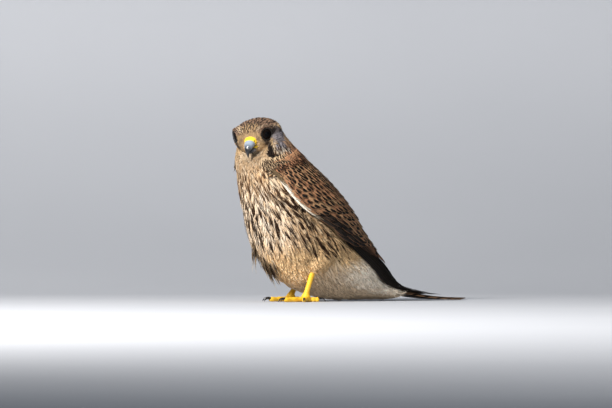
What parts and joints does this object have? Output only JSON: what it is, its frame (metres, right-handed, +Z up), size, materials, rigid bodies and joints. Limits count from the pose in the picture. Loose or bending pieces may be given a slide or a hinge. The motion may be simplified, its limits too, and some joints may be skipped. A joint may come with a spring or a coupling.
{
  "type": "common kestrel",
  "caption": "Standing common kestrel with folded wings, its head turned to its left, as a still life-size model.",
  "frame": {"origin": "middle of the bounding box's underside, on the floor", "axes": "+X to the bird's left, -Y the way its breast faces, so +Y towards the tail's end, +Z up"},
  "size_m": [0.0922, 0.2565, 0.1695],
  "materials": {
    "crown": "short feathers, matt",
    "breast": "short feathers, matt",
    "vent": "soft feathers, matt",
    "tail": "stiff vanes, satin",
    "chestnut": "firm vanes, satin",
    "flight": "stiff vanes, satin",
    "thigh": "soft feathers, matt",
    "skin": "scaled bare skin, satin",
    "horn": "polished horn",
    "claw": "polished horn",
    "eye": "wet gloss",
    "lid": "bare skin, satin"
  },
  "bodies": {
    "root": {"head": "crown", "neck": "breast", "torso": "breast", "rump": "vent", "tail": "tail", "wing_left_coverts": "chestnut", "wing_right_coverts": "chestnut", "wing_left_secondaries": "chestnut", "wing_right_secondaries": "chestnut", "wing_left_primaries": "flight", "wing_right_primaries": "flight", "thigh_left": "thigh", "thigh_right": "thigh", "cere": "skin", "tarsus_left": "skin", "tarsus_right": "skin", "foot_left": "skin", "foot_right": "skin", "bill_upper": "horn", "bill_lower": "horn", "claw_left_inner": "claw", "claw_left_middle": "claw", "claw_left_outer": "claw", "claw_left_hind": "claw", "claw_right_inner": "claw", "claw_right_middle": "claw", "claw_right_outer": "claw", "claw_right_hind": "claw", "eye_left": "eye", "eye_right": "eye", "lid_left": "lid", "lid_right": "lid"}
  },
  "joints": []
}
